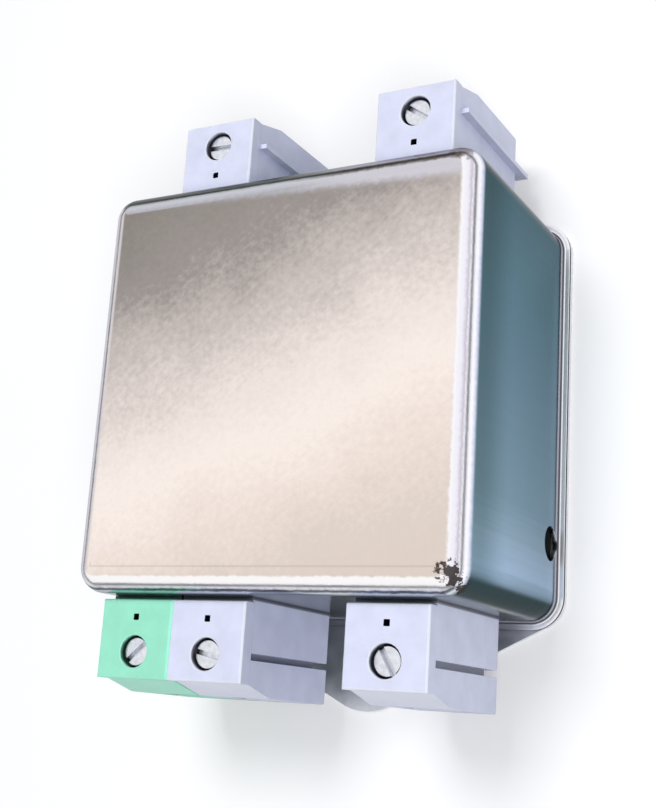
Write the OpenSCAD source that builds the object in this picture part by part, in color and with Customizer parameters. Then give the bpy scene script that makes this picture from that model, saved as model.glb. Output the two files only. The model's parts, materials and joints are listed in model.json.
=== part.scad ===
// Single-phase mains interference filter in a drawn square steel can.
// A rhombic base plate with a fixing hole in each ear closes the can. Five screw
// terminals stand against its end walls: earth, neutral and live at the line end (-Y),
// neutral and live at the load end (+Y). Inside, a ring-core choke with two windings,
// two box capacitors, two disc capacitors and a bleed resistor sit on a circuit board.
// The filter lies on its base plate with +Z out of the can's face. The origin is on
// the mounting surface, under the middle of the can.

/* [Can] */
// Width of the can between its side walls
can_w = 75; // [72:1:100]
// Length of the can between its end walls
can_l = 75; // [74:1:100]
// Height of the can's face above the mounting surface
can_h = 46; // [45:0.5:60]
// Thickness of the can's sheet
can_t = 0.8; // [0.5:0.1:1.2]
// Outside radius of the drawn edges and of the upright corners
draw_r = 4.5; // [3:0.5:5.5]
// Width of the flange round the can's open end
flange_w = 1.5; // [1.2:0.1:3]
// Inside radius of the bend between wall and flange
bend_r = 0.8; // [0.4:0.1:1]
// Diameter of the hole in the side wall
side_hole_d = 6.2; // [3:0.1:6.4]
// Height of the side hole's centre above the mounting surface
side_hole_z = 5.1; // [5:0.1:12]
// Distance of the side hole from the line-end wall
side_hole_y = 13.7; // [8:0.1:60]

/* [Base plate] */
// Thickness of the base plate
base_t = 1; // [0.8:0.1:1.5]
// Reach of each ear beyond the end wall
ear_reach = 17.5; // [16:0.5:24]
// Radius of the ear's tip
ear_r = 11; // [8:0.5:14]
// Diameter of the fixing holes
fix_d = 5.3; // [4.3:0.1:6.4]
// Distance of each fixing hole from its ear's tip
fix_inset = 7.5; // [6:0.5:9]
// Thickness of the insulating sheet on the base plate
sheet_t = 0.3; // [0.2:0.05:0.5]
// Distance of the sheet's edge from the can's inner wall
sheet_gap = 0.5; // [0.3:0.1:1]

/* [Terminal housings] */
// Width of a terminal, and pitch of joined ones
term_w = 15; // [15:0.1:17]
// Height of the terminals' front above the mounting surface
term_top = 40; // [38:0.5:41]
// Height of the terminals' rear above the mounting surface
term_rear = 9.5; // [8:0.5:12]
// Reach of a terminal's front face from the can's wall
front_reach = 14.6; // [14.4:0.1:16]
// Reach of a terminal's outer face from the can's wall
term_reach = 16.8; // [16.2:0.1:19]
// Depth of the full-width border behind the front
border_h = 3; // [2:0.1:3.6]
// Gap between the border and the can's wall
wall_gap = 0.8; // [0.5:0.1:1]
// Depth of the side panels below the border
panel_d = 0.2; // [0.1:0.05:0.6]
// Height of the sloping face between border and outer face
slope_h = 7.5; // [5:0.5:9]
// Lean of the outer face towards the can at its top
face_lean = 0.2; // [0:0.1:0.5]
// Width of the broken edges round the front
front_edge = 0.3; // [0.2:0.1:0.8]
// Width of the broken edge round the screw hole
hole_edge = 0.2; // [0.1:0.1:0.5]
// Width of the coupling groove in the side of a housing
groove_w = 1.2; // [1:0.1:2]
// Depth of the coupling groove below the border
groove_d = 1.5; // [1.2:0.1:2.2]
// Clearance of the coupling rail in its groove
rail_gap = 0.15; // [0.1:0.05:0.2]
// Length of the rail's foot and of the notch that it enters
foot_h = 3; // [1.5:0.5:4]
// Width of the square test hole
test_w = 1.1; // [0.8:0.1:1.6]
// Distance of the test hole from the can's wall
test_reach = 3.9; // [3.7:0.1:4.4]
// Width of the plug that passes through the can's wall
plug_w = 9.4; // [8.6:0.2:11]
// Height of the plug
plug_h = 11; // [8:0.5:13]
// Length of the plug inside the can
plug_in = 3; // [2.6:0.1:3.6]
// Clearance of the plug in the can's cut-out
plug_gap = 0.15; // [0.1:0.05:0.3]
// Overhang of the latches behind the can's wall
latch_d = 0.35; // [0.2:0.05:0.5]
// Clearance between the latches and the can's wall
latch_gap = 0.2; // [0.1:0.05:0.3]
// Length of the latches
latch_l = 1.8; // [1.2:0.1:2.2]
// Thickness of the housing's walls beside the pocket in its rear
pocket_wall = 1.3; // [1.2:0.1:1.6]

/* [Terminal positions] */
// Distance of the joined earth and neutral terminals from the can's -X wall
earth_inset = 3.5; // [3:0.5:6]
// Distance of the live terminal at the line end from the can's +X wall
live_inset = 7.5; // [4:0.5:10]
// Distance of the neutral terminal at the load end from the can's -X wall
out_neutral_inset = 12; // [6:0.5:14]
// Distance of the live terminal at the load end from the can's +X wall
out_live_inset = 7; // [4:0.5:9]

/* [Clamps] */
// Distance of the screws from the can's wall
screw_reach = 9.9; // [9.9:0.05:10]
// Outside diameter of the screw's thread
screw_d = 4; // [3:0.5:4]
// Pitch of the screw's thread
screw_pitch = 0.7; // [0.5:0.1:0.7]
// Turns that close an open clamp
clamp_turns = 8; // [5:1:8]
// Diameter of the screw's head
head_d = 5; // [4.6:0.1:5.4]
// Height of the screw's head
head_h = 2.2; // [1.6:0.1:2.4]
// Depth of the screw's head below the front
head_sink = 1; // [0.8:0.1:2]
// Width of the screwdriver slot
slot_w = 0.9; // [0.6:0.1:1.2]
// Depth of the screwdriver slot
slot_d = 1.1; // [0.6:0.1:1.3]
// Width of the current bar
bar_w = 6; // [5:0.2:6]
// Thickness of the current bar
bar_t = 1.5; // [1:0.1:1.8]
// Thickness of the cage's side walls
cage_side = 1.3; // [1:0.1:1.4]
// Thickness of the cage's floor
cage_floor = 2; // [1.5:0.1:2.5]
// Thickness of the cage's threaded top
cage_top = 3; // [2.4:0.1:3.2]
// Radius of the cage's long edges
cage_edge = 0.6; // [0.3:0.1:1]
// Length of the cage along the wire
cage_l = 7.6; // [6:0.1:7.6]
// Height of the wire's way under the bar in an open clamp
wire_h = 6.5; // [5.8:0.1:7]
// Widening of the wire funnel on each side
funnel_flare = 1.3; // [0.5:0.1:1.4]
// Radial clearance of the screw in its thread
thread_gap = 0.05; // [0.03:0.01:0.08]
// Height of the chamfer round the screw's head
head_edge = 0.3; // [0.1:0.05:0.5]
// Length of the screw's pointed tip
tip_h = 0.5; // [0.3:0.1:0.8]
// Clearance of the cage in its chamber
slide_gap = 0.2; // [0.15:0.05:0.25]
// Clearance round the screw's head
head_gap = 0.3; // [0.2:0.05:0.4]
// Gap between the screw's tip and the current bar
tip_gap = 0.1; // [0.05:0.05:0.2]
// Depth of the grooves in the cage's floor
grip_d = 0.5; // [0.2:0.1:0.8]
// Distance from the plug to the leg of a current bar
leg_gap = 2.2; // [1.8:0.1:2.6]
// Length of the earth bar's foot on the base plate
earth_foot = 5; // [3:0.5:5]

/* [Board] */
// Height of the board's underside above the insulating sheet
board_lift = 5.7; // [4.5:0.1:6.5]
// Thickness of the circuit board
board_t = 1.6; // [1:0.1:2]
// Distance of the board's edge from the can's inner wall
board_gap = 3.2; // [2:0.1:3.4]
// Radius of the board's corners
board_r = 3; // [1:0.5:5]
// Diameter of the board spacers
spacer_d = 6; // [5:0.1:7]
// Distance of the spacers from the board's side edges
spacer_inset_x = 3.5; // [3:0.5:4]
// Distance of the spacers from the board's end edges
spacer_inset_y = 14; // [13:0.5:18]
// Height of the heads that hold the board on its spacers
spacer_head_h = 1.2; // [0.8:0.1:2]
// Overhang of the spacers' heads
spacer_head_lip = 0.45; // [0.3:0.05:0.6]
// Length that pins and leads stand out under the board
lead_out = 1.6; // [1:0.1:2]
// Clearance round pins and leads in the board
lead_gap = 0.15; // [0.1:0.05:0.3]

/* [Choke] */
// Outside diameter of the ring core
core_od = 36; // [34:0.5:38]
// Inside diameter of the ring core
core_id = 20; // [19:0.5:22]
// Height of the ring core
core_h = 16; // [12:0.5:18]
// Radius of the core's rounded edges
core_edge = 1; // [0.5:0.1:1.5]
// Diameter of the enamelled winding wire
wire_d = 1.9; // [1.2:0.1:2]
// Turns of each winding
turns = 9; // [6:1:9]
// Clearance between wire and core
wire_gap = 0.3; // [0.2:0.05:0.5]
// Gap between the turns in the core's hole
turn_gap = 0.16; // [0.1:0.02:0.3]
// Distance that a winding's end bows out before it goes down
tail_out = 1.5; // [1:0.1:1.5]
// Thickness of the choke's base
choke_base_t = 2; // [1.5:0.1:3]
// Diameter of the base's pins through the board
choke_pin_d = 2.4; // [1.6:0.1:3]
// Thickness of the divider between the windings
divider_t = 1.6; // [1:0.1:3]
// Distance of the base's rim inside the core's rim
choke_base_in = 1; // [0.5:0.1:2]
// Depth of the divider's seat in the base
divider_seat = 1.2; // [0.5:0.1:1.4]
// Thickness of the divider's bridge over the core
bridge_t = 2; // [1:0.1:3]
// Reach of the divider's bridge onto the core
bridge_reach = 3; // [2:0.5:5]
// Width of the pads that the core stands on
pad_w = 5; // [4:0.5:6]
// Length of the pads that the core stands on
pad_l = 6; // [4:0.5:7]

/* [Other components] */
// Length of a box capacitor
xcap_l = 26; // [20:0.5:27]
// Thickness of a box capacitor
xcap_t = 8.5; // [6:0.5:8.5]
// Height of a box capacitor
xcap_h = 17; // [12:0.5:22]
// Height of a box capacitor's feet
xcap_foot = 0.5; // [0.3:0.1:1]
// Distance of a box capacitor's leads from its ends
xcap_lead_in = 1.75; // [1.5:0.25:3]
// Distance of a box capacitor from the legs of the current bars
xcap_gap = 0.6; // [0.3:0.1:1]
// Diameter of a disc capacitor
ycap_d = 9; // [7:0.5:10]
// Thickness of a disc capacitor
ycap_t = 4; // [3:0.2:4.6]
// Height of a disc capacitor above the board
ycap_lift = 3; // [2:0.5:5]
// Distance of the disc capacitors and the resistor from the board's side edges
side_part_in = 5; // [4:0.5:5]
// Diameter of the bleed resistor
resistor_d = 3.4; // [2.4:0.2:4]
// Length of the bleed resistor
resistor_l = 9; // [6:0.5:10]
// Reach of the resistor's leads beyond its body
resistor_lead = 2; // [1.5:0.1:3]
// Height of the bleed resistor above the board
resistor_lift = 0.3; // [0.2:0.1:1]
// Diameter of component leads
lead_d = 0.8; // [0.6:0.05:1]

/* [Hidden] */
$fn = 64;
eps = 0.01;

STEEL = [0.84, 0.82, 0.79];
ZINC = [0.80, 0.81, 0.82];
GREY = [0.80, 0.81, 0.87];
GREEN = [0.55, 0.86, 0.74];
COPPER = [0.80, 0.50, 0.34];

// Middles of the terminals
earth_x = -can_w / 2 + earth_inset + term_w / 2;
live_x = can_w / 2 - live_inset - term_w / 2;
out_neutral_x = -can_w / 2 + out_neutral_inset + term_w / 2;
out_live_x = can_w / 2 - out_live_inset - term_w / 2;

// Name, middle in X, end (-1 line, 1 load), turn of the screw's slot, colour
TERMS = [
    ["earth", earth_x, -1, 42, GREEN],
    ["neutral_in", earth_x + term_w, -1, -12, GREY],
    ["live_in", live_x, -1, 120, GREY],
    ["neutral_out", out_neutral_x, 1, -2, GREY],
    ["live_out", out_live_x, 1, -35, GREY],
];

// Can and base plate
wall_top = can_h - draw_r;
corner_x = can_w / 2 - draw_r;
corner_y = can_l / 2 - draw_r;
ear_tip = can_l / 2 + ear_reach;
fix_y = ear_tip - fix_inset;
plate_r = draw_r + flange_w;

// Clamp heights, worked down from the screw's head
head_bottom = term_top - head_sink - head_h;
chamber_top = head_bottom - head_gap;
clamp_travel = clamp_turns * screw_pitch;
cage_top_z = chamber_top - slide_gap - clamp_travel;
cage_roof = cage_top_z - cage_top;
bar_top = cage_roof - head_gap;
bar_z = bar_top - bar_t;
wire_floor = bar_z - wire_h;
cage_z = wire_floor - cage_floor;
way_w = bar_w + 4 * slide_gap;
cage_w = way_w + 2 * cage_side;

// Board and what stands on it
sheet_top = base_t + sheet_t;
board_z = sheet_top + board_lift;
board_top = board_z + board_t;
lead_z = board_z - lead_out;
board_w = can_w - 2 * can_t - 2 * board_gap;
board_l = can_l - 2 * can_t - 2 * board_gap;
leg_in = can_t + plug_in + leg_gap;
leg_y = can_l / 2 - leg_in - bar_t / 2;
bar_bend = bar_t / 2;
spacer_x = board_w / 2 - spacer_inset_x;
spacer_y = board_l / 2 - spacer_inset_y;
spacer_pin_d = spacer_d / 2;
side_part_x = board_w / 2 - side_part_in;
xcap_y = leg_y - bar_t / 2 - xcap_gap - xcap_t / 2;
xcap_line_x = (earth_x + term_w + live_x) / 2;
xcap_load_x = (out_neutral_x + out_live_x) / 2;
xcap_pitch = xcap_l - 2 * xcap_lead_in;
ycap_pitch = ycap_d - 2 * lead_d;
ycap_y = [-6, 8];
resistor_y = -6;
resistor_z = board_top + resistor_lift + resistor_d / 2;
resistor_pitch = resistor_l + 2 * resistor_lead;

// Choke: the wire's path is a rounded rectangle round the core's section
choke_base_z = board_top + choke_base_t;
core_z = choke_base_z + wire_d + wire_gap;
core_mid_r = (core_od + core_id) / 4;
path_half_w = (core_od - core_id) / 4 + wire_gap + wire_d / 2;
path_half_h = core_h / 2 + wire_gap + wire_d / 2;
path_mid_z = core_z + core_h / 2;
path_r = core_edge + wire_gap + wire_d / 2;
turn_step = 2 * asin((wire_d + turn_gap) / 2 / (core_mid_r - path_half_w));
winding_start = -turns * turn_step / 2;
WIRE_SIDES = 8;
CORNER_STEPS = 3;

// ---------------------------------------------------------------- shared shapes

module box(low, high) {
    translate(low) cube(high - low);
}

// Puts a terminal's own frame on the can: y runs out from the end wall
module at_terminal(t) {
    translate([t[1], t[2] * can_l / 2, 0]) rotate([0, 0, t[2] < 0 ? 180 : 0]) children();
}

// A profile in y and z, drawn as [y, z], extruded over x
module along_x(from_x, to_x) {
    translate([from_x, 0, 0]) rotate([90, 0, 90]) linear_extrude(to_x - from_x) children();
}

// A profile in x and z, drawn as [x, z], extruded over y
module along_y(from_y, to_y) {
    translate([0, to_y, 0]) rotate([90, 0, 0]) linear_extrude(to_y - from_y) children();
}

// Quarter of a flat ring; sx and sy choose its quadrant
module quarter_ring(outer, inner, sx, sy) {
    intersection() {
        difference() {
            circle(outer);
            if (inner > 0) circle(inner);
        }
        translate([sx < 0 ? -outer : 0, sy < 0 ? -outer : 0]) square(outer);
    }
}

module rounded_square(w, l, r) {
    square([w, l - 2 * r], center = true);
    square([w - 2 * r, l], center = true);
    for (x = [-1, 1], y = [-1, 1]) translate([x * (w / 2 - r), y * (l / 2 - r)]) circle(r);
}

// ---------------------------------------------------------------- can and base

// Section of the can's wall, from the flange up over the drawn edge; x = 0 is the
// axis of the upright corner
module wall_section() {
    bend = bend_r + can_t;
    translate([0, wall_top]) quarter_ring(draw_r, draw_r - can_t, 1, 1);
    translate([draw_r - can_t, base_t + bend]) square([can_t, wall_top - base_t - bend]);
    translate([draw_r + bend_r, base_t + bend]) quarter_ring(bend, bend_r, -1, -1);
    translate([draw_r + bend_r, base_t]) square([flange_w - bend_r, can_t]);
}

module can_side(distance, length) {
    translate([distance, length / 2, 0]) rotate([90, 0, 0]) linear_extrude(length) wall_section();
}

module drawn_shell() {
    for (turn = [0, 180]) {
        rotate([0, 0, turn]) can_side(corner_x, 2 * corner_y);
        rotate([0, 0, turn + 90]) can_side(corner_y, 2 * corner_x);
    }
    for (x = [-1, 1], y = [-1, 1]) translate([x * corner_x, y * corner_y, 0])
        rotate([0, 0, x > 0 ? (y > 0 ? 0 : 270) : (y > 0 ? 90 : 180)])
            rotate_extrude(angle = 90) wall_section();
    box([-corner_x, -corner_y, can_h - can_t], [corner_x, corner_y, can_h]);
}

module can() {
    color(STEEL) difference() {
        drawn_shell();
        for (t = TERMS) at_terminal(t) plug_block(plug_gap, can_t + 1, 1);
        translate([can_w / 2, side_hole_y - can_l / 2, side_hole_z]) rotate([0, 90, 0])
            cylinder(h = 4, d = side_hole_d, center = true);
    }
}

// Direction from two circles' middles to the points where their outer tangent touches
function tangent_angle(c1, r1, c2, r2) =
    let (d = c2 - c1) atan2(d[1], d[0]) - acos((r1 - r2) / norm(d));
function on_circle(c, r, a) = c + r * [cos(a), sin(a)];

module base_outline() {
    corner = [corner_x, corner_y];
    tip = [0, ear_tip - ear_r];
    a = tangent_angle(corner, plate_r, tip, ear_r);
    flank = [on_circle(corner, plate_r, a), on_circle(tip, ear_r, a)];
    for (turn = [0, 180]) rotate(turn) {
        polygon([[corner_x + plate_r, -1], [corner_x + plate_r, corner_y], flank[0], flank[1],
                 [-flank[1][0], flank[1][1]], [-flank[0][0], flank[0][1]],
                 [-corner_x - plate_r, corner_y], [-corner_x - plate_r, -1]]);
        translate(tip) circle(ear_r);
        for (x = [-1, 1]) translate([x * corner_x, corner_y]) circle(plate_r);
    }
}

module base_plate() {
    color(STEEL) difference() {
        linear_extrude(base_t) base_outline();
        for (y = [-1, 1]) translate([0, y * fix_y, -1]) cylinder(h = base_t + 2, d = fix_d);
    }
}

module insulating_sheet() {
    foot = TERMS[0];
    color([0.86, 0.82, 0.68]) difference() {
        translate([0, 0, base_t]) linear_extrude(sheet_t)
            rounded_square(can_w - 2 * (can_t + sheet_gap), can_l - 2 * (can_t + sheet_gap),
                           draw_r);
        at_terminal(foot) box([-bar_w, -leg_in - bar_t - bar_bend - earth_foot - 1, 0],
                              [bar_w, 0, sheet_top + 1]);
    }
}

// ---------------------------------------------------------------- terminals

// The plug that fills the can's cut-out, widened all round by gap
module plug_block(gap, inside, outside) {
    mid = bar_z + bar_t / 2;
    box([-plug_w / 2 - gap, -inside, mid - plug_h / 2 - gap],
        [plug_w / 2 + gap, outside, mid + plug_h / 2 + gap]);
}

// Moulded latches that hold the plug behind the can's wall
module plug_latches() {
    mid = bar_z + bar_t / 2;
    proud = plug_gap + latch_d;
    start = -can_t - latch_gap;
    for (side = [-1, 1]) translate([0, 0, mid - plug_h / 4]) linear_extrude(plug_h / 2)
        polygon([[side * (plug_w / 2 - latch_d), start], [side * (plug_w / 2 + proud), start],
                 [side * (plug_w / 2 + proud), start - latch_d],
                 [side * plug_w / 2, start - latch_l],
                 [side * (plug_w / 2 - latch_d), start - latch_l]]);
}

// Side view of a housing: the can's wall on the left, the front at the top
module housing_section() {
    edge = front_edge;
    slope_top = term_top - border_h;
    polygon([[0, term_rear], [0, slope_top], [wall_gap, slope_top],
             [wall_gap, term_top - edge], [wall_gap + edge, term_top],
             [front_reach - edge, term_top], [front_reach, term_top - edge],
             [front_reach, slope_top], [term_reach - face_lean, slope_top - slope_h],
             [term_reach, term_rear + edge], [term_reach - edge, term_rear]]);
}

// End view of a housing: the full-width border, with its edges broken, on the body
module housing_end() {
    edge = front_edge;
    half = term_w / 2;
    body_half = half - panel_d;
    body_top = term_top - border_h;
    polygon([[-body_half, term_rear], [-body_half, body_top], [-half, body_top],
             [-half, term_top - edge], [-half + edge, term_top],
             [half - edge, term_top], [half, term_top - edge],
             [half, body_top], [body_half, body_top], [body_half, term_rear]]);
}

// A straight-sided funnel from the outer face to the cage's way
module wire_funnel() {
    inner_y = screw_reach + cage_l / 2;
    outer_y = term_reach + 1;
    half = way_w / 2;
    intersection() {
        translate([0, 0, wire_floor - 3]) linear_extrude(wire_h + 3)
            polygon([[-half, inner_y - 1], [half, inner_y - 1], [half, inner_y],
                     [half + funnel_flare, outer_y], [-half - funnel_flare, outer_y],
                     [-half, inner_y]]);
        along_x(-half - 3, half + 3)
            polygon([[inner_y - 1, wire_floor], [inner_y, wire_floor],
                     [outer_y, wire_floor - funnel_flare], [outer_y, bar_z],
                     [inner_y - 1, bar_z]]);
    }
}

// Rail on one side and groove on the other, by which joined housings lock together
module coupling_rail() {
    box([term_w / 2 - panel_d - 1, screw_reach - groove_w / 2 + rail_gap, term_rear - foot_h],
        [term_w / 2 + groove_d - rail_gap, screw_reach + groove_w / 2 - rail_gap,
         term_top - border_h - rail_gap]);
}

module coupling_groove() {
    low_y = screw_reach - groove_w / 2;
    box([-term_w / 2 - 1, low_y, term_rear - 1],
        [-term_w / 2 + groove_d, low_y + groove_w, term_top - border_h]);
    box([-term_w / 2 - 1, low_y, term_rear - 1],
        [-cage_w / 2, low_y + groove_w, term_rear + foot_h]);
}

module housing_shell() {
    intersection() {
        along_x(-term_w, term_w) housing_section();
        along_y(-1, term_reach + 1) housing_end();
    }
    coupling_rail();
    plug_block(0, can_t + plug_in, eps);
    plug_latches();
}

module housing_cuts() {
    chamber_half_l = cage_l / 2 + slide_gap;
    chamber_half_w = cage_w / 2 + slide_gap;
    // Chamber for the cage, open at the rear
    box([-chamber_half_w, screw_reach - chamber_half_l, term_rear - 1],
        [chamber_half_w, screw_reach + chamber_half_l, chamber_top]);
    // Screw hole with a broken edge
    translate([0, screw_reach, chamber_top - 1])
        cylinder(h = term_top - chamber_top + 2, d = head_d + 2 * head_gap);
    translate([0, screw_reach, term_top - hole_edge])
        cylinder(h = 2 * hole_edge, d1 = head_d + 2 * head_gap,
                 d2 = head_d + 2 * head_gap + 4 * hole_edge);
    // Way of the current bar through the plug
    box([-bar_w / 2 - plug_gap, -leg_in, bar_z - plug_gap],
        [bar_w / 2 + plug_gap, screw_reach, bar_top + plug_gap]);
    // Square test hole down to the bar
    box([-test_w / 2, test_reach - test_w / 2, bar_z],
        [test_w / 2, test_reach + test_w / 2, term_top + 1]);
    // Pocket in the rear of the solid beside the chamber
    box([-chamber_half_w, pocket_wall, term_rear - 1],
        [chamber_half_w, screw_reach - chamber_half_l - pocket_wall, bar_z - plug_h / 2 + 1]);
    wire_funnel();
    coupling_groove();
}

module housing(t) {
    color(t[4]) at_terminal(t) difference() {
        housing_shell();
        housing_cuts();
    }
}

module screw(t) {
    tip_z = bar_top + tip_gap;
    color(ZINC) at_terminal(t) translate([0, screw_reach, 0]) difference() {
        union() {
            translate([0, 0, head_bottom]) cylinder(h = head_h - head_edge, d = head_d);
            translate([0, 0, head_bottom + head_h - head_edge])
                cylinder(h = head_edge, d1 = head_d, d2 = head_d - 2 * head_edge);
            translate([0, 0, tip_z + tip_h])
                cylinder(h = head_bottom - tip_z, d = screw_d);
            translate([0, 0, tip_z]) cylinder(h = tip_h, d1 = screw_d - 2 * tip_h, d2 = screw_d);
        }
        rotate([0, 0, t[3]]) box([-head_d, -slot_w / 2, head_bottom + head_h - slot_d],
                                 [head_d, slot_w / 2, term_top]);
    }
}

module cage(t) {
    color(ZINC) at_terminal(t) translate([0, screw_reach, 0]) difference() {
        along_y(-cage_l / 2, cage_l / 2) translate([0, (cage_z + cage_top_z) / 2])
            rounded_square(cage_w, cage_top_z - cage_z, cage_edge);
        box([-way_w / 2, -cage_l, wire_floor], [way_w / 2, cage_l, cage_roof]);
        translate([0, 0, cage_roof - 1])
            cylinder(h = cage_top + 2, d = screw_d + 2 * thread_gap);
        // Grooves across the floor that grip the wire
        for (y = [-1, 0, 1]) translate([0, y * cage_l / 4, wire_floor])
            along_x(-cage_w, cage_w) circle(grip_d, $fn = 4);
    }
}

// Side view of a bar: straight through the plug, then a leg down through the board.
// A bar with a foot stands on the base plate.
module bar_section(leg_bottom, foot) {
    bend = bar_bend;
    free_end = screw_reach + cage_l / 2 - slide_gap;
    translate([-leg_in + bend, bar_z]) square([free_end + leg_in - bend, bar_t]);
    translate([-leg_in + bend, bar_z - bend]) quarter_ring(bend + bar_t, bend, -1, 1);
    foot_rise = foot > 0 ? bend + bar_t : 0;
    translate([-leg_in - bar_t, leg_bottom + foot_rise])
        square([bar_t, bar_z - bend - leg_bottom - foot_rise]);
    if (foot > 0) {
        translate([-leg_in - bar_t - bend, leg_bottom + foot_rise])
            quarter_ring(bend + bar_t, bend, 1, -1);
        translate([-leg_in - bar_t - bend - foot, leg_bottom]) square([foot, bar_t]);
    }
}

module bar(t) {
    is_earth = t[0] == "earth";
    color(COPPER) at_terminal(t) along_x(-bar_w / 2, bar_w / 2)
        bar_section(is_earth ? base_t : lead_z, is_earth ? earth_foot : 0);
}

// ---------------------------------------------------------------- choke

module choke_base() {
    color([0.16, 0.16, 0.17]) difference() {
        union() {
            translate([0, 0, board_top]) cylinder(h = choke_base_t, d = core_od - 2 * choke_base_in);
            for (y = [-1, 1]) translate([0, y * core_mid_r, 0]) {
                translate([0, 0, lead_z]) cylinder(h = choke_base_z - lead_z, d = choke_pin_d);
                box([-pad_w / 2, -pad_l / 2, board_top + eps], [pad_w / 2, pad_l / 2, core_z]);
            }
        }
        box([-divider_t / 2 - lead_gap, -core_id / 2, choke_base_z - divider_seat],
            [divider_t / 2 + lead_gap, core_id / 2, choke_base_z + 1]);
    }
}

module choke_divider() {
    half = core_id / 2 - lead_gap;
    bridge_half = core_id / 2 + bridge_reach;
    core_top = core_z + core_h;
    color([0.16, 0.16, 0.17]) {
        box([-divider_t / 2, -half, choke_base_z - divider_seat],
            [divider_t / 2, half, core_top + bridge_t]);
        box([-divider_t / 2, -bridge_half, core_top],
            [divider_t / 2, bridge_half, core_top + bridge_t]);
    }
}

module choke_core() {
    color([0.22, 0.34, 0.28]) rotate_extrude() translate([core_mid_r, path_mid_z])
        rounded_square((core_od - core_id) / 2, core_h, core_edge);
}

// Point k of the wire's way round the core's section, as [radius, height]
function section_point(k) =
    let (quarter = floor(k / (CORNER_STEPS + 1)) % 4,
         a = -90 + 90 * quarter + 90 * (k % (CORNER_STEPS + 1)) / CORNER_STEPS,
         out = quarter < 2 ? 1 : -1,
         up = quarter == 1 || quarter == 2 ? 1 : -1)
    [core_mid_r + out * (path_half_w - path_r) + path_r * cos(a),
     path_mid_z + up * (path_half_h - path_r) + path_r * sin(a)];

function around_axis(p, a) = [p[0] * cos(a), p[0] * sin(a), p[1]];

TURN_POINTS = 4 * (CORNER_STEPS + 1);
function winding_angle(k) = winding_start + turn_step * k / TURN_POINTS;

// One winding: up from the board, round the core, and down through the board again
first_point = CORNER_STEPS;
last_point = turns * TURN_POINTS;
tail = [core_mid_r + path_half_w - path_r + tail_out, path_mid_z - path_half_h - path_r];
winding_path = concat(
    [around_axis([section_point(first_point)[0], lead_z], winding_angle(first_point))],
    [for (k = [first_point : last_point]) around_axis(section_point(k), winding_angle(k))],
    [for (s = [0 : 30 : 90])
        around_axis(tail + path_r * [sin(s), cos(s)], winding_angle(last_point))],
    [around_axis([tail[0] + path_r, lead_z], winding_angle(last_point))]);

function unit(v) = v / norm(v);
function way_at(path, i) =
    unit(path[min(i + 1, len(path) - 1)] - path[max(i - 1, 0)]);

// Ring of points round the path at point i; its first point lies along the core
function wire_ring(path, i, radius) =
    let (way = way_at(path, i),
         along = unit([-path[i][1], path[i][0], 0]),
         side = unit(along - (along * way) * way),
         over = cross(way, side))
    [for (j = [0 : WIRE_SIDES - 1]) let (a = 360 * j / WIRE_SIDES)
        path[i] + radius * (cos(a) * side + sin(a) * over)];

module round_wire(path, d) {
    n = WIRE_SIDES;
    rings = len(path);
    points = [for (i = [0 : rings - 1]) each wire_ring(path, i, d / 2)];
    sides = [for (i = [0 : rings - 2], j = [0 : n - 1])
        let (a = i * n + j, b = i * n + (j + 1) % n)
        each [[a, a + n, b + n], [a, b + n, b]]];
    ends = [[for (j = [0 : n - 1]) j], [for (j = [n - 1 : -1 : 0]) (rings - 1) * n + j]];
    polyhedron(points, concat(sides, ends));
}

module winding(turn) {
    color([0.72, 0.36, 0.18]) rotate([0, 0, turn]) round_wire(winding_path, wire_d);
}

// ---------------------------------------------------------------- other components

module x_capacitor(x, y) {
    color([0.92, 0.76, 0.24]) translate([x, y, 0]) {
        translate([0, 0, board_top + xcap_foot]) linear_extrude(xcap_h - xcap_foot)
            rounded_square(xcap_l, xcap_t, lead_d);
        for (fx = [-1, 1], fy = [-1, 1])
            translate([fx * (xcap_l / 2 - 2 * lead_d), fy * (xcap_t / 2 - 2 * lead_d), board_top])
                cylinder(h = 2 * xcap_foot, d = 2 * lead_d);
    }
    color(ZINC) for (lead = [-1, 1]) translate([x + lead * xcap_pitch / 2, y, lead_z])
        cylinder(h = board_top + 2 * xcap_foot - lead_z, d = lead_d);
}

module y_capacitor(y) {
    middle = board_top + ycap_lift + ycap_d / 2;
    color([0.25, 0.45, 0.75]) translate([-side_part_x, y, middle]) rotate([0, 90, 0])
        rotate_extrude() intersection() {
            rounded_square(ycap_d, ycap_t, 0.95 * ycap_t / 2);
            translate([0, -ycap_t]) square([ycap_d, 2 * ycap_t]);
        }
    color(ZINC) for (lead = [-1, 1])
        translate([-side_part_x, y + lead * ycap_pitch / 2, lead_z])
            cylinder(h = middle - lead_z, d = lead_d);
}

module bleed_resistor() {
    bend = lead_d;
    cap_l = resistor_l / 4;
    color([0.80, 0.70, 0.55]) translate([side_part_x, resistor_y, resistor_z]) {
        rotate([90, 0, 0]) cylinder(h = resistor_l, d = resistor_d - lead_d / 2, center = true);
        for (end = [-1, 1]) translate([0, end * (resistor_l - cap_l) / 2, 0])
            rotate([90, 0, 0]) cylinder(h = cap_l, d = resistor_d, center = true);
    }
    color(ZINC) translate([side_part_x, resistor_y, resistor_z]) for (turn = [0, 180])
        rotate([0, 0, turn]) {
            translate([0, resistor_l / 2 - 1, 0]) rotate([-90, 0, 0])
                cylinder(h = (resistor_pitch - resistor_l) / 2 + 1 - bend, d = lead_d);
            translate([0, resistor_pitch / 2 - bend, -bend]) rotate([90, 0, 90])
                rotate_extrude(angle = 90) translate([bend, 0]) circle(d = lead_d);
            translate([0, resistor_pitch / 2, lead_z - resistor_z])
                cylinder(h = resistor_z - lead_z - bend, d = lead_d);
        }
}

// ---------------------------------------------------------------- board

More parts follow.
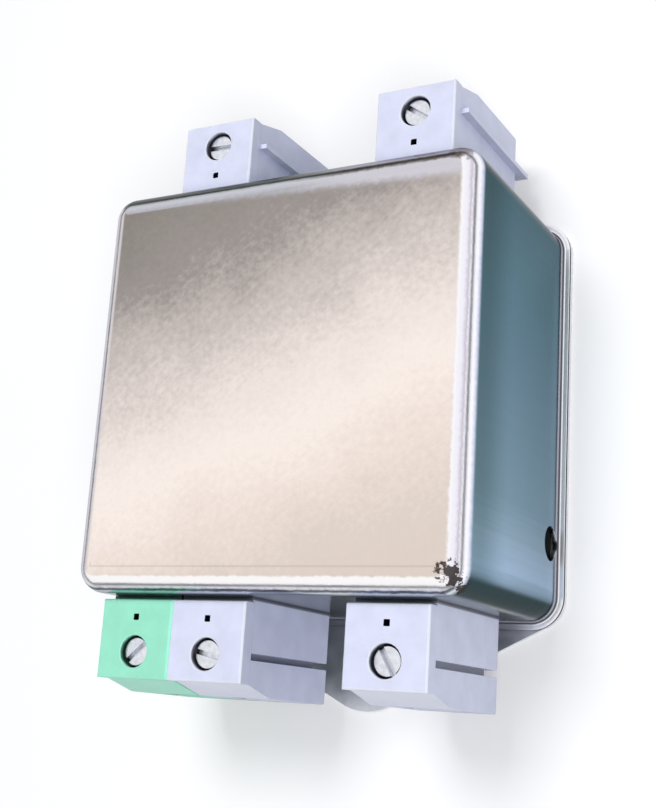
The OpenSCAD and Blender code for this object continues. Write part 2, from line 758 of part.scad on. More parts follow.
// Every round hole in the board: middle and diameter of what goes through it
BOARD_PINS = concat(
    [for (x = [-1, 1], y = [-1, 1]) [x * spacer_x, y * spacer_y, spacer_pin_d]],
    [for (y = [-1, 1]) [0, y * core_mid_r, choke_pin_d]],
    [for (side = [1, -1], p = [winding_path[0], winding_path[len(winding_path) - 1]])
        [side * p[0], side * p[1], wire_d]],
    [for (x = [-1, 1]) [xcap_line_x + x * xcap_pitch / 2, -xcap_y, lead_d]],
    [for (x = [-1, 1]) [xcap_load_x + x * xcap_pitch / 2, xcap_y, lead_d]],
    [for (y = ycap_y, lead = [-1, 1]) [-side_part_x, y + lead * ycap_pitch / 2, lead_d]],
    [for (lead = [-1, 1]) [side_part_x, resistor_y + lead * resistor_pitch / 2, lead_d]]);

module circuit_board() {
    color([0.24, 0.46, 0.30]) difference() {
        translate([0, 0, board_z]) linear_extrude(board_t)
            rounded_square(board_w, board_l, board_r);
        for (t = TERMS) at_terminal(t)
            box([-bar_w / 2 - lead_gap, -leg_in - bar_t - lead_gap, board_z - 1],
                [bar_w / 2 + lead_gap, -leg_in + lead_gap, board_top + 1]);
        for (p = BOARD_PINS) translate([p[0], p[1], board_z - 1])
            cylinder(h = board_t + 2, d = p[2] + 2 * lead_gap);
    }
}

module board_spacers() {
    color([0.92, 0.92, 0.88]) for (x = [-1, 1], y = [-1, 1])
        translate([x * spacer_x, y * spacer_y, 0]) {
            translate([0, 0, sheet_top]) cylinder(h = board_lift, d = spacer_d);
            translate([0, 0, board_z - eps])
                cylinder(h = board_t + spacer_head_h, d = spacer_pin_d - spacer_head_lip);
            translate([0, 0, board_z - eps]) cylinder(h = board_t + lead_gap, d = spacer_pin_d);
            translate([0, 0, board_top + lead_gap])
                cylinder(h = spacer_head_h, d1 = spacer_pin_d + 2 * spacer_head_lip,
                         d2 = spacer_pin_d - spacer_head_lip);
        }
}

for (t = TERMS) {
    housing(t);
    screw(t);
    cage(t);
    bar(t);
}
can();
base_plate();
insulating_sheet();
circuit_board();
board_spacers();
choke_base();
choke_divider();
choke_core();
winding(0);  // winding_live
winding(180);  // winding_neutral
x_capacitor(xcap_line_x, -xcap_y);  // x_capacitor_line
x_capacitor(xcap_load_x, xcap_y);  // x_capacitor_load
y_capacitor(ycap_y[0]);  // y_capacitor_live
y_capacitor(ycap_y[1]);  // y_capacitor_neutral
bleed_resistor();
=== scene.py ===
# Dresses the frame of a mains interference filter: a drawn steel can on a base plate,
# with five screw terminals on its end walls. Every place comes from the frame.

import json
import math

import bpy
from mathutils import Matrix, Vector

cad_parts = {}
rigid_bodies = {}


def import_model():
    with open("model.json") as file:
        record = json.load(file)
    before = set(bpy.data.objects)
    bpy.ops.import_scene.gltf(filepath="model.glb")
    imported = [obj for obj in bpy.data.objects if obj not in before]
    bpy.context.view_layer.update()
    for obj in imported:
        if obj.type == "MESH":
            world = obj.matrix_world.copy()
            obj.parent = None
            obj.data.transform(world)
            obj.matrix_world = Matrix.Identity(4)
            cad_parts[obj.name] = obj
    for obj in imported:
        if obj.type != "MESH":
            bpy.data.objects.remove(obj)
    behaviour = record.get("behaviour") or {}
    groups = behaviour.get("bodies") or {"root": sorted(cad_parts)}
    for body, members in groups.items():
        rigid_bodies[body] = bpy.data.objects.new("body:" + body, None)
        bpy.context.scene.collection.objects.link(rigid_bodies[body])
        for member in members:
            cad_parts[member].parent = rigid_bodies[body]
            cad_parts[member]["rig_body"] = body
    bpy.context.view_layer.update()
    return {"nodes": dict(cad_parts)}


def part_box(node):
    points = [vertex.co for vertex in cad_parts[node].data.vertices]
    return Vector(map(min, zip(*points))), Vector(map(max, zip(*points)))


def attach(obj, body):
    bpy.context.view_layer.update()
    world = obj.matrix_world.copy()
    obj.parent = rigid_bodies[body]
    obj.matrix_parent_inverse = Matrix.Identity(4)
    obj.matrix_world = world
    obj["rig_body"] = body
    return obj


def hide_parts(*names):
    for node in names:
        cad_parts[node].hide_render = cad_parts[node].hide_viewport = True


bl_info = {
    "name": "Mains Filter",
    "version": (1, 0, 0),
    "blender": (4, 5, 0),
    "location": "View3D > Sidebar > Mains Filter",
    "description": "Finishes the pieces of a mains filter and sets them on a plain stage",
    "category": "Object",
}

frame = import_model()
NODES = frame["nodes"]
TERMINALS = ("earth", "neutral_in", "live_in", "neutral_out", "live_out")
MM = 0.001
# Distance of the end walls from the can's middle
WALL = 37.5 * MM


def display(red, green, blue):
    """The linear colour that a display shows as these values from 0 to 255."""
    steps = [value / 255 for value in (red, green, blue)]
    linear = [s / 12.92 if s <= 0.04045 else ((s + 0.055) / 1.055) ** 2.4 for s in steps]
    return (*linear, 1.0)


def colour_property(name, description, red, green, blue):
    """A colour that a user can change."""
    return bpy.props.FloatVectorProperty(
        name=name,
        description=description,
        subtype="COLOR",
        size=4,
        min=0.0,
        max=1.0,
        default=display(red, green, blue),
    )


def length_property(name, description, millimetres):
    """A length that a user can change."""
    return bpy.props.FloatProperty(
        name=name,
        description=description,
        unit="LENGTH",
        min=0.0,
        precision=5,
        default=millimetres * MM,
    )


# ---------------------------------------------------------------- what a user sets


class FILTER_PG_stage(bpy.types.PropertyGroup):
    floor_colour: colour_property("Floor", "Colour of the floor", 236, 236, 238)
    floor_glow: bpy.props.FloatProperty(
        name="Floor lift",
        description="How much brighter the floor looks than it is lit",
        min=0.0,
        max=1.0,
        default=0.22,
    )
    key_power: bpy.props.FloatProperty(
        name="Key lamp",
        description="Power of the large lamp above the filter",
        unit="POWER",
        min=0.0,
        default=2.0,
    )
    fill_power: bpy.props.FloatProperty(
        name="Fill lamp",
        description="Power of the lamp beside the camera",
        unit="POWER",
        min=0.0,
        default=1.8,
    )
    sky: bpy.props.FloatProperty(
        name="Sky",
        description="Strength of the light from all round",
        min=0.0,
        max=2.0,
        default=0.33,
    )
    lens: bpy.props.FloatProperty(
        name="Lens",
        description="Focal length of the camera in millimetres",
        min=10.0,
        default=57.421,
    )


class FILTER_PG_can(bpy.types.PropertyGroup):
    # Painted reflection on the face, at its lightest and darkest
    face_reflection_light: colour_property("Face, light", "Steel where the face is lightest", 250, 238, 232)
    face_reflection_dark: colour_property("Face, dark", "Steel where the face is darkest", 140, 134, 129)
    # Painted reflections on the drawn edges
    bend_reflection_colour: colour_property("Bends", "Steel on the drawn edges", 250, 249, 252)
    load_bend_reflection_colour: colour_property("Load end bend", "Steel on the drawn edge there", 112, 117, 114)
    # Painted reflection on the side walls
    wall_reflection_light: colour_property("Wall, light", "Side walls at the line end", 172, 198, 224)
    wall_reflection_dark: colour_property("Wall, dark", "Side walls at the load end", 66, 105, 117)
    end_colour: colour_property("End walls", "Steel of the end walls", 196, 205, 208)
    # Painted dark reflection on the upright corners
    corner_reflection_colour: colour_property("Upright corners", "Steel of the upright corners", 38, 64, 67)
    plate_colour: colour_property("Base plate", "Steel of the base plate", 236, 238, 242)
    sheared_edge: length_property("Sheared edge", "Width of the rounding on cut edges", 0.12)


class FILTER_PG_housings(bpy.types.PropertyGroup):
    grey: colour_property("Grey", "Moulding of the mains terminals", 220, 224, 247)
    green: colour_property("Green", "Moulding of the earth terminal", 158, 234, 206)
    soft_edge: length_property("Soft edge", "Width of the rounding on moulded edges", 0.14)
    test_reach: length_property("Test hole", "Distance of a test hole from the can", 3.9)


class FILTER_PG_clamps(bpy.types.PropertyGroup):
    screw_colour: colour_property("Screws", "Plated steel of the screws", 238, 240, 248)
    cage_colour: colour_property("Cages", "Plated steel of the cages", 188, 190, 196)
    bar_colour: colour_property("Bars", "Metal of the current bars", 206, 172, 112)
    thread_pitch: length_property("Thread pitch", "Pitch of the screws' thread", 0.7)
    thread_depth: length_property("Thread depth", "Depth of the screws' thread", 0.38)
    slot_width: length_property("Slot width", "Width of the screwdriver slot", 0.9)
    slot_depth: length_property("Slot depth", "Depth of the screwdriver slot", 1.1)


class FILTER_PG_inside(bpy.types.PropertyGroup):
    board_colour: colour_property("Board", "Lacquer of the circuit board", 34, 92, 58)
    # A real part, made dark as painted shade for the inside of the can
    sheet_shade_colour: colour_property("Sheet", "Insulating sheet", 34, 42, 44)
    spacer_colour: colour_property("Spacers", "Nylon of the board's spacers", 228, 226, 214)
    plastic_colour: colour_property("Choke plastic", "Base and divider of the choke", 36, 36, 38)
    core_colour: colour_property("Core", "Lacquer of the ring core", 52, 84, 68)
    copper_colour: colour_property("Windings", "Enamelled copper", 176, 86, 44)
    box_colour: colour_property("Box capacitors", "Cases of the box capacitors", 218, 178, 62)
    disc_colour: colour_property("Disc capacitors", "Coat of the disc capacitors", 44, 96, 168)
    resistor_colour: colour_property("Resistor", "Coat of the resistor", 202, 178, 140)


# ---------------------------------------------------------------- nodes


def add_node(tree, kind, inputs=None, **settings):
    """A node with its settings, its constants and its links."""
    node = tree.nodes.new(kind)
    for name, value in settings.items():
        setattr(node, name, value)
    for name, value in (inputs or {}).items():
        if isinstance(value, bpy.types.NodeSocket):
            tree.links.new(value, node.inputs[name])
        else:
            node.inputs[name].default_value = value
    return node


def calculate(tree, operation, first, second=0.0):
    """The result of a Math node."""
    return add_node(tree, "ShaderNodeMath", {0: first, 1: second}, operation=operation).outputs[0]


def smooth_step(tree, value, low, high):
    """0 below low and 1 above high, with a soft change between them."""
    step = add_node(
        tree,
        "ShaderNodeMapRange",
        {"Value": value, "From Min": low, "From Max": high},
        interpolation_type="SMOOTHSTEP",
    )
    return step.outputs["Result"]


def blend_colours(tree, factor, first, second, mode="MIX"):
    """Two colours mixed by a factor."""
    mix = tree.nodes.new("ShaderNodeMix")
    mix.data_type = "RGBA"
    mix.blend_type = mode
    for place, value in ((0, factor), (6, first), (7, second)):
        if isinstance(value, bpy.types.NodeSocket):
            tree.links.new(value, mix.inputs[place])
        else:
            mix.inputs[place].default_value = value
    return mix.outputs[2]


def ramp(tree, value, stops):
    """A colour ramp through (place, colour) stops."""
    node = add_node(tree, "ShaderNodeValToRGB", {"Fac": value})
    points = node.color_ramp.elements
    while len(points) < len(stops):
        points.new(1.0)
    for point, (place, colour) in zip(points, stops):
        point.position = place
        point.color = colour
    return node.outputs["Color"]


def shift(tree, value, reach):
    """A value from 0 to 1 as a shift of half the reach either way."""
    return calculate(tree, "MULTIPLY", calculate(tree, "SUBTRACT", value, 0.5), reach)


def band(tree, value, start, full, fade, stop):
    """1 between full and fade, and softly 0 before start and after stop."""
    rise = smooth_step(tree, value, start, full)
    fall = smooth_step(tree, value, stop, fade)
    return calculate(tree, "MULTIPLY", rise, fall)


def new_group(name, inputs, outputs):
    """An empty shader node group with named sockets."""
    group = bpy.data.node_groups.new(name, "ShaderNodeTree")
    for label, kind, default in inputs:
        socket = group.interface.new_socket(label, in_out="INPUT", socket_type=kind)
        if default is not None:
            socket.default_value = default
    for label, kind in outputs:
        group.interface.new_socket(label, in_out="OUTPUT", socket_type=kind)
    start = group.nodes.new("NodeGroupInput")
    end = group.nodes.new("NodeGroupOutput")
    return group, start.outputs, end.inputs


def grain_group():
    """Cloudy grain of one size, as a value from 0 to 1."""
    group, given, result = new_group(
        "Grain",
        [
            ("Vector", "NodeSocketVector", None),
            ("Size", "NodeSocketFloat", 1.0 * MM),
            ("Contrast", "NodeSocketFloat", 0.5),
        ],
        [("Value", "NodeSocketFloat")],
    )
    scale = calculate(group, "DIVIDE", 1.0, given["Size"])
    noise = add_node(
        group,
        "ShaderNodeTexNoise",
        {"Vector": given["Vector"], "Scale": scale, "Detail": 3.0, "Roughness": 0.55},
    )
    centred = calculate(group, "SUBTRACT", noise.outputs["Fac"], 0.5)
    spread = calculate(group, "MULTIPLY", centred, given["Contrast"])
    value = calculate(group, "ADD", calculate(group, "MULTIPLY", spread, 2.0), 0.5)
    group.links.new(value, result["Value"])
    return group


def streak_group():
    """Long fine streaks along one direction in X and Y, as a value from 0 to 1."""
    group, given, result = new_group(
        "Streaks",
        [
            ("Vector", "NodeSocketVector", None),
            ("Turn", "NodeSocketVector", (0.0, 0.0, 0.0)),
            ("Length", "NodeSocketFloat", 12.0 * MM),
            ("Width", "NodeSocketFloat", 0.5 * MM),
        ],
        [("Value", "NodeSocketFloat"), ("Mask", "NodeSocketFloat")],
    )
    turned = add_node(
        group,
        "ShaderNodeVectorRotate",
        {"Vector": given["Vector"], "Rotation": given["Turn"]},
        rotation_type="EULER_XYZ",
        invert=True,
    )
    sizes = add_node(
        group,
        "ShaderNodeCombineXYZ",
        {"X": given["Length"], "Y": given["Width"], "Z": given["Length"]},
    )
    scaled = add_node(
        group,
        "ShaderNodeVectorMath",
        {0: turned.outputs["Vector"], 1: sizes.outputs["Vector"]},
        operation="DIVIDE",
    )
    noise = add_node(
        group,
        "ShaderNodeTexNoise",
        {"Vector": scaled.outputs["Vector"], "Scale": 1.0, "Detail": 2.0, "Roughness": 0.5},
    )
    group.links.new(noise.outputs["Fac"], result["Value"])
    group.links.new(smooth_step(group, noise.outputs["Fac"], 0.62, 0.74), result["Mask"])
    return group


def facing_group():
    """How far a surface tilts from level up to 1, and the way it then faces in X and Y."""
    group, _, result = new_group(
        "Facing",
        [],
        [("Tilt", "NodeSocketFloat"), ("Across", "NodeSocketFloat"), ("Along", "NodeSocketFloat")],
    )
    place = group.nodes.new("ShaderNodeTexCoord")
    parts = add_node(group, "ShaderNodeSeparateXYZ", {"Vector": place.outputs["Normal"]})
    angle = calculate(group, "ARCCOSINE", parts.outputs["Z"])
    level = add_node(group, "ShaderNodeCombineXYZ", {"X": parts.outputs["X"], "Y": parts.outputs["Y"]})
    length = add_node(group, "ShaderNodeVectorMath", {0: level.outputs["Vector"]}, operation="LENGTH")
    share = calculate(group, "MAXIMUM", length.outputs["Value"], 0.0001)
    across = calculate(group, "DIVIDE", parts.outputs["X"], share)
    along = calculate(group, "DIVIDE", parts.outputs["Y"], share)
    group.links.new(calculate(group, "DIVIDE", angle, math.pi / 2), result["Tilt"])
    group.links.new(across, result["Across"])
    group.links.new(along, result["Along"])
    return group


def bore_group():
    """Masks for what lies inside an upright bore, round or square, below its mouth."""
    group, given, result = new_group(
        "Bore",
        [
            ("Vector", "NodeSocketVector", None),
            ("Centre", "NodeSocketVector", (0.0, 0.0, 0.0)),
            ("Reach", "NodeSocketFloat", 3.0 * MM),
            ("Fade", "NodeSocketFloat", 1.0 * MM),
        ],
        [("Round", "NodeSocketFloat"), ("Square", "NodeSocketFloat")],
    )
    away = add_node(
        group,
        "ShaderNodeVectorMath",
        {0: given["Vector"], 1: given["Centre"]},
        operation="SUBTRACT",
    )
    parts = add_node(group, "ShaderNodeSeparateXYZ", {"Vector": away.outputs["Vector"]}).outputs
    level = add_node(group, "ShaderNodeCombineXYZ", {"X": parts["X"], "Y": parts["Y"]})
    length = add_node(group, "ShaderNodeVectorMath", {0: level.outputs["Vector"]}, operation="LENGTH")
    side_x = calculate(group, "ABSOLUTE", parts["X"])
    side_y = calculate(group, "ABSOLUTE", parts["Y"])
    depth = calculate(group, "MULTIPLY", parts["Z"], -1.0)
    below = calculate(group, "DIVIDE", depth, given["Fade"])
    deep = smooth_step(group, below, 0.3, 1.0)
    for name, distance in (
        ("Round", length.outputs["Value"]),
        ("Square", calculate(group, "MAXIMUM", side_x, side_y)),
    ):
        share = calculate(group, "DIVIDE", distance, given["Reach"])
        within = smooth_step(group, share, 1.02, 0.97)
        group.links.new(calculate(group, "MULTIPLY", within, deep), result[name])
    return group


GROUP_MAKERS = {
    "Grain": grain_group,
    "Streaks": streak_group,
    "Facing": facing_group,
    "Bore": bore_group,
}


def place_group(tree, name, inputs=None):
    """An effect placed in a material with its own values."""
    group = bpy.data.node_groups.get(name) or GROUP_MAKERS[name]()
    node = tree.nodes.new("ShaderNodeGroup")
    node.node_tree = group
    for label, value in (inputs or {}).items():
        if isinstance(value, bpy.types.NodeSocket):
            tree.links.new(value, node.inputs[label])
        else:
            node.inputs[label].default_value = value
    return node.outputs


def new_material(name):
    """A material with one Principled shader, its node tree and its place socket."""
    material = bpy.data.materials.new(name)
    material.use_nodes = True
    tree = material.node_tree
    tree.nodes.clear()
    end = tree.nodes.new("ShaderNodeOutputMaterial")
    shader = tree.nodes.new("ShaderNodeBsdfPrincipled")
    tree.links.new(shader.outputs["BSDF"], end.inputs["Surface"])
    place = tree.nodes.new("ShaderNodeTexCoord")
    return material, tree, shader, place.outputs["Object"]


def add_bump(tree, shader, height, distance, strength=1.0):
    """Fine relief on the shader's normal."""
    bump = add_node(
        tree,
        "ShaderNodeBump",
        {"Height": height, "Distance": distance, "Strength": strength},
    )
    tree.links.new(bump.outputs["Normal"], shader.inputs["Normal"])


# ---------------------------------------------------------------- finishes


def face_painted_reflection(tree, can, place, axes, peel, cloud, streaks):
    """The can's face with a painted reflection: light towards the line end, dark towards the load end."""
    along = calculate(tree, "ADD", axes["Y"], calculate(tree, "MULTIPLY", axes["X"], -0.35))
    for value, reach in ((streaks["Value"], 5 * MM), (peel["Value"], 8 * MM), (cloud["Value"], 8 * MM)):
        along = calculate(tree, "ADD", along, shift(tree, value, reach))
    where = calculate(tree, "ADD", calculate(tree, "DIVIDE", along, 90 * MM), 0.5)
    face = ramp(
        tree,
        where,
        [
            (0.0, display(222, 208, 199)),
            (0.12, display(224, 211, 201)),
            (0.24, display(238, 224, 215)),
            (0.37, tuple(can.face_reflection_light)),
            (0.5, display(238, 226, 220)),
            (0.63, display(208, 198, 193)),
            (0.72, display(186, 177, 173)),
            (0.8, display(158, 151, 147)),
            (1.0, tuple(can.face_reflection_dark)),
        ],
    )
    # The painted reflection is lighter again in the last band before the load end, most at the right
    load_end_reflection_band = ramp(
        tree,
        calculate(tree, "ADD", calculate(tree, "DIVIDE", axes["X"], 75 * MM), 0.5),
        [(0.1, display(160, 156, 158)), (0.5, display(186, 186, 194)), (0.75, display(208, 205, 214))],
    )
    edge = calculate(tree, "ADD", axes["Y"], shift(tree, peel["Value"], 0.8 * MM))
    edge = calculate(tree, "ADD", edge, calculate(tree, "MULTIPLY", axes["X"], 0.035))
    return blend_colours(tree, smooth_step(tree, edge, 31.7 * MM, 33.5 * MM), face, load_end_reflection_band)


def wall_painted_reflection(tree, can, place, axes, facing):
    """The can's walls with painted reflections: light at the line end, darker under the bend and dark at the
    upright corners.
    """
    draw_lines = place_group(
        tree,
        "Streaks",
        {
            "Vector": place,
            "Turn": (0.0, math.radians(90), 0.0),
            "Length": 30 * MM,
            "Width": 0.9 * MM,
        },
    )
    along = calculate(tree, "ADD", axes["Y"], shift(tree, draw_lines["Value"], 5 * MM))
    side = ramp(
        tree,
        calculate(tree, "ADD", calculate(tree, "DIVIDE", along, 75 * MM), 0.5),
        [
            (0.0, display(74, 96, 104)),
            (0.03, display(128, 154, 172)),
            (0.08, tuple(can.wall_reflection_light)),
            (0.14, display(158, 184, 204)),
            (0.23, display(130, 160, 177)),
            (0.5, display(110, 143, 161)),
            (0.7, display(91, 130, 146)),
            (0.95, tuple(can.wall_reflection_dark)),
        ],
    )
    # Painted reflection, darker towards the top under the bend
    under_bend_reflection = smooth_step(tree, axes["Z"], 26 * MM, 40 * MM)
    side = blend_colours(tree, under_bend_reflection, side, (0.52, 0.58, 0.56, 1.0), "MULTIPLY")
    turned = calculate(tree, "ABSOLUTE", facing["Along"])
    wall = blend_colours(tree, smooth_step(tree, turned, 0.86, 0.97), side, tuple(can.end_colour))
    # Painted dark reflection on the upright corners
    corner = band(tree, turned, 0.1, 0.42, 0.86, 0.97)
    return blend_colours(tree, corner, wall, tuple(can.corner_reflection_colour))


def bend_painted_reflection(tree, can, axes, facing, tilt):
    """Painted reflections on the drawn edges, different at each end and on the sides."""
    sides = ramp(
        tree,
        tilt,
        [
            (0.2, display(226, 216, 210)),
            (0.28, tuple(can.bend_reflection_colour)),
            (0.42, display(240, 237, 248)),
            (0.5, display(206, 200, 214)),
            (0.57, display(250, 249, 254)),
            (0.74, display(250, 249, 254)),
            (0.83, display(210, 214, 232)),
            (0.93, display(150, 166, 182)),
        ],
    )
    line_end = ramp(
        tree,
        tilt,
        [
            (0.12, display(212, 198, 188)),
            (0.21, display(206, 192, 182)),
            (0.28, display(250, 247, 247)),
            (0.56, display(252, 250, 253)),
            (0.62, display(216, 216, 222)),
            (0.67, display(96, 100, 106)),
            (0.72, display(110, 114, 120)),
            (0.78, display(214, 220, 228)),
            (0.9, display(150, 160, 166)),
        ],
    )
    load_left = ramp(
        tree,
        tilt,
        [
            (0.0, display(172, 170, 176)),
            (0.1, display(190, 191, 200)),
            (0.2, display(204, 203, 212)),
            (0.29, display(180, 186, 190)),
            (0.35, display(108, 113, 108)),
            (0.9, tuple(can.load_bend_reflection_colour)),
        ],
    )
    load_right = ramp(
        tree,
        tilt,
        [
            (0.0, display(206, 203, 211)),
            (0.18, display(208, 206, 215)),
            (0.25, display(120, 115, 112)),
            (0.3, display(84, 79, 74)),
            (0.36, display(124, 122, 122)),
            (0.42, display(186, 184, 196)),
            (0.8, display(150, 156, 162)),
        ],
    )
    to_the_right = smooth_step(tree, axes["X"], 0.0, 15 * MM)
    load_end = blend_colours(tree, to_the_right, load_left, load_right)
    tone = blend_colours(tree, smooth_step(tree, facing["Along"], -0.6, -0.85), sides, line_end)
    return blend_colours(tree, smooth_step(tree, facing["Along"], 0.6, 0.85), tone, load_end)


def flange_painted_light(tree, axes):
    """Painted light on the flange by height: painted shade on the cut rim, a painted highlight on the top,
    painted shade in the seam and a greyish painted reflection on the bend.
    """
    height = calculate(tree, "DIVIDE", calculate(tree, "SUBTRACT", axes["Z"], 0.8 * MM), 2.4 * MM)
    return ramp(
        tree,
        height,
        [
            (0.0, display(52, 56, 62)),
            (0.36, display(62, 66, 72)),
            (0.4, display(252, 251, 255)),
            (0.43, display(252, 251, 255)),
            (0.46, display(84, 88, 96)),
            (0.52, display(88, 92, 100)),
            (0.57, display(188, 188, 200)),
            (0.8, display(200, 201, 212)),
        ],
    )


def near_point(tree, place, point, ragged, reach):
    """1 close to a point and 0 beyond the reach, with a ragged edge."""
    away = add_node(tree, "ShaderNodeVectorMath", {0: place, 1: point}, operation="DISTANCE")
    distance = calculate(tree, "ADD", away.outputs["Value"], ragged)
    return smooth_step(tree, distance, reach, reach * 0.72)


def drawn_steel(can):
    """Plated sheet steel, drawn and lightly scuffed, with painted reflections and painted shade on its face,
    bends, walls and flange.
    """
    material, tree, shader, place = new_material("drawn_steel")
    axes = add_node(tree, "ShaderNodeSeparateXYZ", {"Vector": place}).outputs
    facing = place_group(tree, "Facing")
    peel = place_group(tree, "Grain", {"Vector": place, "Size": 1.1 * MM, "Contrast": 1.0})
    cloud = place_group(tree, "Grain", {"Vector": place, "Size": 14 * MM, "Contrast": 1.0})
    streaks = place_group(
        tree,
        "Streaks",
        {
            "Vector": place,
            "Turn": (0.0, 0.0, math.radians(38)),
            "Length": 9 * MM,
            "Width": 0.6 * MM,
        },
    )
    tilt = calculate(tree, "ADD", facing["Tilt"], shift(tree, peel["Value"], 0.05))
    steel = face_painted_reflection(tree, can, place, axes, peel, cloud, streaks)
    bend = bend_painted_reflection(tree, can, axes, facing, tilt)
    at_load = smooth_step(tree, facing["Along"], 0.6, 0.85)
    from_face = calculate(tree, "MULTIPLY", at_load, smooth_step(tree, facing["Tilt"], 0.004, 0.03))
    bent = calculate(tree, "MAXIMUM", smooth_step(tree, tilt, 0.2, 0.3), from_face)
    # The left bend starts to shine earlier, a painted reflection, and the line end has a faint brownish line
    # where the face starts to bend
    at_left = smooth_step(tree, facing["Across"], -0.5, -0.9)
    left_painted_reflection = calculate(tree, "MULTIPLY", at_left, smooth_step(tree, facing["Tilt"], 0.08, 0.18))
    steel = blend_colours(tree, left_painted_reflection, steel, display(220, 214, 216))
    line_end_brown_line = band(tree, facing["Tilt"], 0.004, 0.02, 0.04, 0.07)
    line_end_brown_line = calculate(tree, "MULTIPLY", line_end_brown_line, smooth_step(tree, axes["Y"], -32 * MM, -33 * MM))
    steel = blend_colours(tree, calculate(tree, "MULTIPLY", line_end_brown_line, 0.3), steel, display(178, 160, 146))
    # Painted reflections on the bends
    steel = blend_colours(tree, bent, steel, bend)
    upright = smooth_step(tree, facing["Tilt"], 0.84, 0.985)
    steel = blend_colours(tree, upright, steel, wall_painted_reflection(tree, can, place, axes, facing))
    # Painted light on the flange
    low = smooth_step(tree, axes["Z"], 3.1 * MM, 2.6 * MM)
    steel = blend_colours(tree, low, steel, flange_painted_light(tree, axes))
    # On the two corners that stand out most: ragged, rougher dark brown patches at the line end, and a
    # fainter painted brown reflection at the load end
    ragged = shift(tree, peel["Value"], 3.0 * MM)
    brown_corner_patches = near_point(tree, place, (34.9 * MM, -34.2 * MM, 45.4 * MM), ragged, 1.7 * MM)
    for point, reach in (((35.9, -35.1, 44.1), 1.0 * MM), ((36.3, -36.0, 42.0), 1.6 * MM)):
        spot = near_point(tree, place, [part * MM for part in point], ragged, reach)
        brown_corner_patches = calculate(tree, "MAXIMUM", brown_corner_patches, spot)
    # Painted reflection on the right corner at the load end
    load_corner_reflection = near_point(tree, place, (34.4 * MM, 35.5 * MM, 45.0 * MM), ragged, 1.9 * MM)
    steel = blend_colours(tree, calculate(tree, "MULTIPLY", brown_corner_patches, 0.94), steel, display(58, 49, 46))
    steel = blend_colours(tree, calculate(tree, "MULTIPLY", load_corner_reflection, 0.5), steel, display(110, 96, 88))
    tree.links.new(steel, shader.inputs["Base Color"])
    shader.inputs["Metallic"].default_value = 1.0
    shader.inputs["Specular Tint"].default_value = (0.6, 0.6, 0.6, 1.0)
    rough = calculate(tree, "ADD", calculate(tree, "MULTIPLY", cloud["Value"], 0.10), 0.13)
    rough = calculate(tree, "ADD", rough, calculate(tree, "MULTIPLY", brown_corner_patches, 0.2))
    rough = calculate(tree, "ADD", rough, calculate(tree, "MULTIPLY", low, 0.14))
    tree.links.new(rough, shader.inputs["Roughness"])
    relief = calculate(tree, "ADD", peel["Value"], calculate(tree, "MULTIPLY", streaks["Value"], 0.3))
    add_bump(tree, shader, relief, 0.014 * MM, 0.7)
    return material


def plate_steel(can):
    """Plated sheet steel of the base plate, rolled, with a painted highlight on its cut edges."""
    material, tree, shader, place = new_material("plate_steel")
    grain = place_group(tree, "Grain", {"Vector": place, "Size": 3 * MM, "Contrast": 0.9})
    rolled = place_group(
        tree,
        "Streaks",
        {"Vector": place, "Turn": (0.0, 0.0, 0.0), "Length": 30 * MM, "Width": 0.3 * MM},
    )
    facing = place_group(tree, "Facing")
    tone = blend_colours(tree, grain["Value"], display(210, 214, 220), tuple(can.plate_colour))
    tone = blend_colours(tree, calculate(tree, "MULTIPLY", rolled["Mask"], 0.3), tone, display(226, 228, 230))
    # Painted highlight on the cut edges
    edge = smooth_step(tree, facing["Tilt"], 0.2, 0.6)
    tone = blend_colours(tree, edge, tone, display(232, 234, 238))
    tree.links.new(tone, shader.inputs["Base Color"])
    shader.inputs["Metallic"].default_value = 1.0
    tree.links.new(
        calculate(tree, "ADD", calculate(tree, "MULTIPLY", grain["Value"], 0.12), 0.36),
        shader.inputs["Roughness"],
    )
    add_bump(tree, shader, rolled["Value"], 0.008 * MM, 0.5)
    return material


